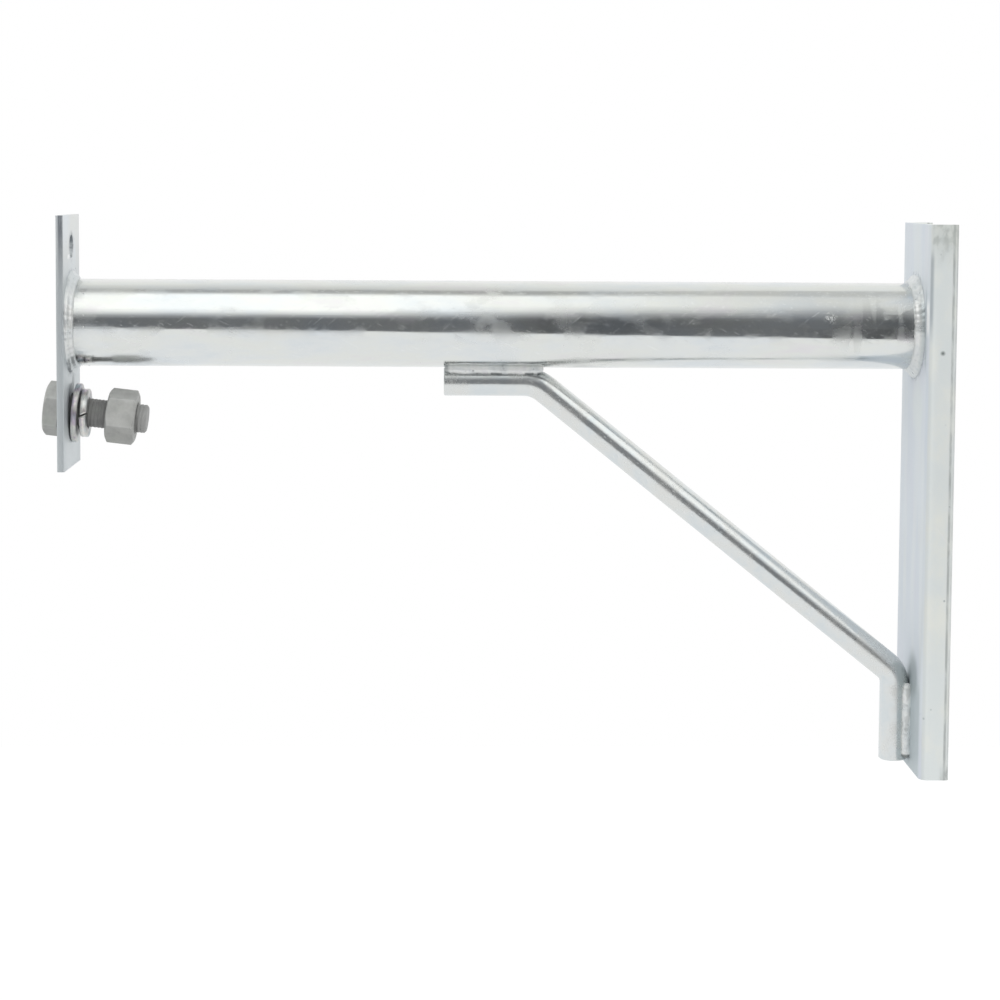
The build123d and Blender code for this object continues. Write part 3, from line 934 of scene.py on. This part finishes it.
class Turned:
    """A block built up of rings of points round an axis, with a wear value for each point."""

    def __init__(self, axes, turn_degrees):
        self.axes = axes
        self.angles = [math.radians(turn_degrees + degrees) for degrees in HEX_DEGREES]
        self.rings = []
        self.wear = []

    def round(self, reach, radius, wear=0.0):
        self.rings.append([around_axis(self.axes, reach, radius, a) for a in self.angles])
        self.wear.append([wear] * len(self.angles))

    def hexagon(self, height, near_bevel):
        """The six flats, bevelled at the far end, and at the near end bevelled or just broken."""
        near = [t * MM for t in END_LEVELS]
        middle = [height * share for share in (0.35, 0.5, 0.65)]
        far = [height - t * MM for t in reversed(END_LEVELS)]
        for reach in near + middle + far:
            self.rings.append(self.hexagon_ring(reach, height, near_bevel))
            end_wear = 0.5 * max(0.0, 1.0 - min(reach, height - reach) / (0.25 * MM))
            self.wear.append([max(value, end_wear) for value in HEX_WEAR])

    def hexagon_ring(self, reach, height, near_bevel):
        cone_far = HEX_FACE_RADIUS + (height - reach) / HEX_CHAMFER
        cone_near = HEX_FACE_RADIUS + reach / HEX_CHAMFER
        drop = max(0.0, BROKEN_EDGE - reach)
        edge = BROKEN_EDGE - math.sqrt(max(0.0, BROKEN_EDGE**2 - drop**2))
        ring = []
        for degrees, angle in zip(HEX_DEGREES, self.angles):
            side = ACROSS_FLATS / 2.0 / math.cos(math.radians(degrees % 60.0 - 30.0))
            radius = soft_least(side, HEX_CORNER_RADIUS - 0.12 * MM, 0.10 * MM)
            radius = soft_least(radius, cone_far, BEVEL_BLEND)
            if near_bevel:
                radius = soft_least(radius, cone_near, BEVEL_BLEND)
            else:
                radius = radius - edge
            ring.append(around_axis(self.axes, reach, radius, angle))
        return ring


def skin(name, rings, closed, finish, wear):
    """Joins rings of points. It closes the last to the first, or fills both ends."""
    count = len(rings[0])
    points = [point for ring in rings for point in ring]
    faces = []
    for row in range(len(rings) if closed else len(rings) - 1):
        below = row * count
        above = (row + 1) % len(rings) * count
        for i in range(count):
            following = (i + 1) % count
            faces.append((below + i, below + following, above + following, above + i))
    if not closed:
        faces.append(tuple(range(count)))
        faces.append(tuple((len(rings) - 1) * count + i for i in range(count)))
    piece = add_mesh(name, points, faces, (), finish)
    # The edge attribute holds rubbed wear on the hex pieces and the painted rim shine on the
    # washers.
    worn = piece.data.attributes.new("edge", "FLOAT", "POINT")
    worn.data.foreach_set("value", [value for ring in wear for value in ring])
    return piece


def make_head():
    """The bolt's head: flat under side, bevelled top with a shallow rim."""
    origin, along, across, up = leaning(BOLT_SEAT, BOLT_DROOP)
    block = Turned((origin, -along, across, up), HEAD_TURN)
    block.round(0.0, 6.0 * MM)
    block.round(0.0, 12.6 * MM)
    block.hexagon(HEAD_HEIGHT, False)
    block.round(HEAD_HEIGHT + 0.02 * MM, 12.7 * MM, 0.3)
    block.round(HEAD_HEIGHT - 0.02 * MM, 12.0 * MM)
    block.round(HEAD_HEIGHT - 0.12 * MM, 11.0 * MM)
    block.round(HEAD_HEIGHT - 0.14 * MM, 4.0 * MM)
    return skin("bolt_head", block.rings, False, GALVANISED, block.wear)


def make_nut():
    """The nut: both ends bevelled, the bore countersunk."""
    start = BOLT_SEAT + leaning(BOLT_SEAT, BOLT_DROOP)[1] * NUT_REACH * MM
    block = Turned(leaning(start, BOLT_DROOP), NUT_TURN)
    bore = SHANK_RADIUS + 0.06 * MM
    mouth = SHANK_RADIUS + 0.9 * MM
    block.hexagon(NUT_HEIGHT, True)
    block.round(NUT_HEIGHT, 12.4 * MM)
    block.round(NUT_HEIGHT, mouth + 0.3 * MM, 0.3)
    block.round(NUT_HEIGHT - 0.1 * MM, mouth)
    block.round(NUT_HEIGHT - 1.0 * MM, bore)
    block.round(1.0 * MM, bore)
    block.round(0.1 * MM, mouth)
    block.round(0.0, mouth + 0.3 * MM, 0.3)
    block.round(0.0, 12.4 * MM)
    return skin("heavy_nut", block.rings, True, GALVANISED, block.wear)


def make_thread():
    """A threaded rod round a straight path, with a turned-down tip."""
    bench = Recipe(
        "screw_thread",
        {
            "Outer radius": SHANK_RADIUS,
            "Pitch": 2.0 * MM,
            "Thread depth": 0.18 * MM,
            "Tip chamfer": 1.1 * MM,
            "Seed": 2.0,
        },
    )
    size = bench.size
    along = bench.amount("GeometryNodeSplineParameter", "Length")
    left = bench.amount("GeometryNodeSplineLength", "Length") - along
    even = bench.even_curve(size("Pitch") / 12.0)
    path, along, left, axis = bench.keep(even, along=along, left=left, axis=bench.place)
    around = bench.amount("GeometryNodeSplineParameter", "Factor")
    section, around = bench.keep(bench.circle(48, size("Outer radius")), around=around)
    phase = bench.maths("FRACT", along / size("Pitch") + around + 10.0)
    flank = bench.rise(abs(phase * 2.0 - 1.0), 0.10, 0.88)
    worn = bench.noise(size("Seed"), 420.0)
    cut = size("Thread depth") * (1.0 - flank) + (1.0 - worn) * (0.12 * MM)
    inward = bench.most(cut, size("Tip chamfer") - left)
    outwards = bench.vector("NORMALIZE", bench.vector("SUBTRACT", bench.place, axis))
    bench.close(bench.moved(bench.sweep(path, section), outwards, 0.0 - inward))
    seat, onwards = leaning(BOLT_SEAT, BOLT_DROOP)[:2]
    ends = [seat - onwards * 2.0 * MM, seat + onwards * SHANK_LENGTH * MM]
    return bench.make("bolt_thread", path_mesh("bolt_axis", ends), SHADED_THREAD, {})


RIM_SHINE = ((0.12, 0.2), (0.30, 0.35), (0.46, 1.0), (0.66, 1.0), (0.84, 0.45), (0.94, 0.2))


def washer_section(inner, outer, thickness, edge):
    """The outline of a washer's wall as (radius, reach, shine), its four edges rounded."""
    outline = []
    corners = (
        (outer - edge, edge, -90.0),
        (outer - edge, thickness - edge, 0.0),
        (inner + edge, thickness - edge, 90.0),
        (inner + edge, edge, 180.0),
    )
    for radius, reach, start in corners:
        for step in range(5):
            angle = math.radians(start + step * 22.5)
            shine = 0.25 * abs(math.cos(angle))
            outline.append((radius + edge * math.cos(angle), reach + edge * math.sin(angle), shine))
        if start == -90.0:
            for share, shine in RIM_SHINE:
                outline.append((outer, edge + (thickness - 2.0 * edge) * share, shine))
    return outline


def make_washer(name, axes, section, shares, closed, place_at):
    """Carries a section round an axis. place_at gives its angle and lift at a share of it."""
    rings = []
    for share in shares:
        ring = []
        for radius, reach, _ in section:
            angle, lift = place_at(share, reach)
            ring.append(around_axis(axes, reach + lift, radius, angle))
        rings.append(ring)
    # The shine goes to the skin as its wear values: a painted highlight on the washer's rim.
    shine = [[value for _, _, value in section]] * len(rings)
    return skin(name, rings, closed, WASHER_ZINC, shine)


def make_flat_washer():
    axes = leaning(FLAT_WASHER_SEAT, FLAT_WASHER_LEAN)
    section = washer_section(9.0 * MM, 16.5 * MM, 3.0 * MM, 0.55 * MM)
    shares = [i / 96 for i in range(96)]
    return make_washer(
        "punched_washer", axes, section, shares, True, lambda share, _: (2.0 * math.pi * share, 0.0)
    )


def make_spring_washer():
    """A split ring whose ends stand slightly apart, cut on a slant on the near side."""
    outer = 13.5 * MM
    thickness = 3.7 * MM
    axes = leaning(SPRING_WASHER_SEAT, SPRING_WASHER_LEAN)
    section = washer_section(8.7 * MM, outer, thickness, 0.5 * MM)
    gap = 1.4 * MM / outer

    def place_at(share, reach):
        slant = (reach - thickness / 2.0) * math.tan(math.radians(25.0)) / outer
        angle = math.pi + gap / 2.0 + share * (2.0 * math.pi - gap) - slant
        return angle, share * 0.6 * MM

    shares = [i / 96 for i in range(97)]
    return make_washer("split_washer", axes, section, shares, False, place_at)


stands_for(make_head(), "hex_bolt")
stands_for(make_thread(), "hex_bolt")
stands_for(make_nut(), "hex_nut")
stands_for(make_flat_washer(), "flat_washer")
stands_for(make_spring_washer(), "spring_washer")


# Studio

COOL_DARK = (0.92, 0.955, 1.0)
LIGHT = (0.99, 1.0, 0.985)


def seen_directly(bench):
    """1 for rays that show a thing itself, 0 for those that only carry its light."""
    path = bench.node("ShaderNodeLightPath")
    kinds = ("Is Camera Ray", "Is Glossy Ray", "Is Transmission Ray")
    camera, glossy, through = (Amount(bench, path.outputs[kind]) for kind in kinds)
    return bench.most(bench.most(camera, glossy), through)


def studio_finish(name, make_shader):
    """A finish for the studio. Whatever it gives off is found by chance, not aimed at."""
    bench = Finish(name)
    bench.material.cycles.emission_sampling = "NONE"
    return bench.end(*make_shader(bench))


def floor_white(bench):
    """A plain white floor that still takes a shadow."""
    matte = bench.node("ShaderNodeBsdfDiffuse", {"Color": (0.55, 0.55, 0.55)})
    glow = bench.node("ShaderNodeEmission", {"Strength": seen_directly(bench) * 0.52})
    return "ShaderNodeAddShader", {0: matte.outputs[0], 1: glow.outputs[0]}


def studio_mesh(name, points, faces, finish):
    mesh = bpy.data.meshes.new(name)
    mesh.from_pydata(points, [], faces)
    mesh.materials.append(finish)
    piece = add_object(name, mesh)
    return piece


def glowing(name, radiance):
    """A finish that gives off light. Its colour and strength are worked out on the card."""

    def glow(bench):
        colour, strength = radiance(bench)
        return "ShaderNodeEmission", {"Color": colour, "Strength": strength}

    return studio_finish(name, glow)


def reflected_card(name, points, finish, faces=None):
    """A card that only shiny metal sees."""
    card = studio_mesh(name, points, faces or [tuple(range(len(points)))], finish)
    card.visible_camera = False
    card.visible_diffuse = False
    card.visible_transmission = False
    card.visible_shadow = False


FLOOR_Z = -1.20
FLOOR_CORNERS = [(-4, -4, FLOOR_Z), (4, -4, FLOOR_Z), (4, 4, FLOOR_Z), (-4, 4, FLOOR_Z)]
studio_mesh("floor", FLOOR_CORNERS, [(0, 1, 2, 3)], studio_finish("floor_white", floor_white))

# What the tube sees at each place along it: (x on the card, value)
ROOM_LEVELS = (
    (-0.35, 0.19), (-0.23, 0.19), (-0.19, 0.126), (-0.05, 0.128), (0.027, 0.175),
    (0.13, 0.20), (0.21, 0.185), (0.27, 0.11), (0.35, 0.105), (0.60, 0.15),
)
FULL_LIGHT_AT = (
    (-0.35, 0.42), (-0.23, 0.47), (-0.17, 0.532), (-0.078, 0.63), (0.027, 0.545),
    (0.13, 0.61), (0.21, 0.65), (0.27, 0.75), (0.33, 0.76), (0.48, 0.34),
)
KEY_LEVELS = (
    (-0.35, 0.88), (-0.17, 0.80), (-0.078, 0.73), (0.027, 0.645), (0.13, 0.565),
    (0.21, 0.533), (0.27, 0.51), (0.35, 0.56), (0.50, 0.84),
)
RIM_LEVELS = (
    (-0.35, 0.50), (-0.17, 0.47), (-0.078, 0.58), (0.027, 0.66), (0.27, 0.65), (0.50, 0.78),
)


def dark_room(bench):
    """The unlit room behind the camera."""
    return COOL_DARK, bench.follow(bench.x, ROOM_LEVELS)


def softbox_light(bench):
    """The overhead light as the tube sees it: a soft lower edge, a thin dark rim, then paper."""
    degrees = bench.maths("ARCTAN2", bench.z, 0.0 - bench.y) * (180.0 / math.pi)
    dark = bench.follow(bench.x, ROOM_LEVELS)
    from_below = bench.rise(bench.x, 0.33, 0.48, 12.0, -2.0)
    share = bench.rise(degrees, from_below, bench.follow(bench.x, FULL_LIGHT_AT) * 100.0)
    key = bench.follow(bench.x, KEY_LEVELS) * 1.5
    box = dark + (key - dark) * share
    paper = bench.rise(degrees, 103.0, 132.0, bench.rise(bench.x, -0.5, 0.2, 0.72, 0.92), 0.97)
    rim = bench.follow(bench.x, RIM_LEVELS)
    to_rim = bench.rise(degrees, 82.0, 91.5)
    paper_from = bench.rise(bench.x, -0.2, 0.27, 100.0, 107.0)
    to_paper = bench.rise(degrees, paper_from, paper_from + 5.0)
    glow = box * (1.0 - to_rim) + rim * to_rim
    glow = glow * (1.0 - to_paper) + paper * to_paper
    return bench.mixed(share, COOL_DARK, LIGHT), glow


def white_table(bench):
    return (0.985, 0.995, 1.0), bench.rise(bench.y, -2.0, -1.0, 0.935, 0.95)


def grey_card(bench):
    return LIGHT, bench.rise(bench.z, -0.3, 0.9, 0.30, 0.45)


# A long arch of cards over the object, from in front of it to high behind it
ARCH_RADIUS = 1.5
ARCH_ANGLES = [math.radians(2.0 * i - 4.0) for i in range(73)]
ARCH_POINTS = [
    (x, -ARCH_RADIUS * math.cos(angle), ARCH_RADIUS * math.sin(angle))
    for angle in ARCH_ANGLES
    for x in (-2.4, 1.4)
]
ARCH_FACES = [(2 * i, 2 * i + 1, 2 * i + 3, 2 * i + 2) for i in range(72)]
reflected_card("softbox_arch", ARCH_POINTS, glowing("softbox_light", softbox_light), ARCH_FACES)
ROOM_CORNERS = [(-3.0, -1.7, -1.19), (2.2, -1.7, -1.19), (2.2, -1.7, 0.5), (-3.0, -1.7, 0.5)]
reflected_card("dark_room", ROOM_CORNERS, glowing("dark_room", dark_room))
TABLE_Z = -0.27
TABLE_LEFT = [(-2.4, -3.6), (-0.80, -1.78), (-0.39, -0.90)]
TABLE_FRONT = TABLE_LEFT + [(-0.11, -0.58), (0.05, -0.42), (0.6, -0.28), (1.6, -0.23)]
TABLE_EDGE = TABLE_FRONT + [(1.6, 1.8), (-2.4, 1.8)]
TABLE_POINTS = [(x, y, TABLE_Z) for x, y in TABLE_EDGE]
reflected_card("white_table", TABLE_POINTS, glowing("white_table", white_table))
for card_name, x in (("grey_card_left", -2.0), ("grey_card_right", 1.7)):
    corners = [(x, -1.2, -0.2), (x, 0.8, -0.2), (x, 0.8, 0.8), (x, -1.2, 0.8)]
    reflected_card(card_name, corners, glowing(card_name, grey_card))

world = bpy.data.worlds.new("studio_air")
bpy.context.scene.world = world
world.use_nodes = True
air = Bench(world.node_tree)
strength = 0.93 + seen_directly(air) * 0.07
sky = air.node("ShaderNodeBackground", {"Color": (1.0, 1.0, 1.0), "Strength": strength})
air.node("ShaderNodeOutputWorld", {"Surface": sky.outputs[0]})

softbox = bpy.data.lights.new("softbox", "AREA")
softbox.shape = "RECTANGLE"
softbox.size = 2.8
softbox.size_y = 1.3
softbox.energy = 9.0
lamp = add_object("softbox", softbox)
lamp.location = (-0.35, -0.75, 1.30)
lamp_aim = Vector((-0.25, 0.0, -0.05)) - lamp.location
lamp.rotation_euler = lamp_aim.to_track_quat("-Z", "Y").to_euler()
lamp.visible_camera = False
lamp.visible_glossy = False


# Camera, fitted to the photograph

CAMERA_PLACE = Vector((-0.2831, -1.32571, 0.07817))
CAMERA_YAW = math.radians(-1.4873)
CAMERA_PITCH = math.radians(4.2389)
CAMERA_ROLL = math.radians(0.3694)

lens = bpy.data.cameras.new("camera")
lens.sensor_width = 36.0
lens.lens = 85.616
lens.shift_y = -0.14
lens.clip_start = 0.05
lens.clip_end = 50.0
camera = add_object("camera", lens)
right = Vector((math.cos(CAMERA_YAW), math.sin(CAMERA_YAW), 0.0))
forward = Vector(
    (
        -math.sin(CAMERA_YAW) * math.cos(CAMERA_PITCH),
        math.cos(CAMERA_YAW) * math.cos(CAMERA_PITCH),
        -math.sin(CAMERA_PITCH),
    )
)
upward = right.cross(forward)
right_rolled = math.cos(CAMERA_ROLL) * right + math.sin(CAMERA_ROLL) * upward
up_rolled = math.cos(CAMERA_ROLL) * upward - math.sin(CAMERA_ROLL) * right
turned = Matrix((right_rolled, up_rolled, -forward)).transposed().to_4x4()
camera.matrix_world = Matrix.Translation(CAMERA_PLACE) @ turned
bpy.context.scene.camera = camera

bpy.context.scene.view_settings.view_transform = "Standard"
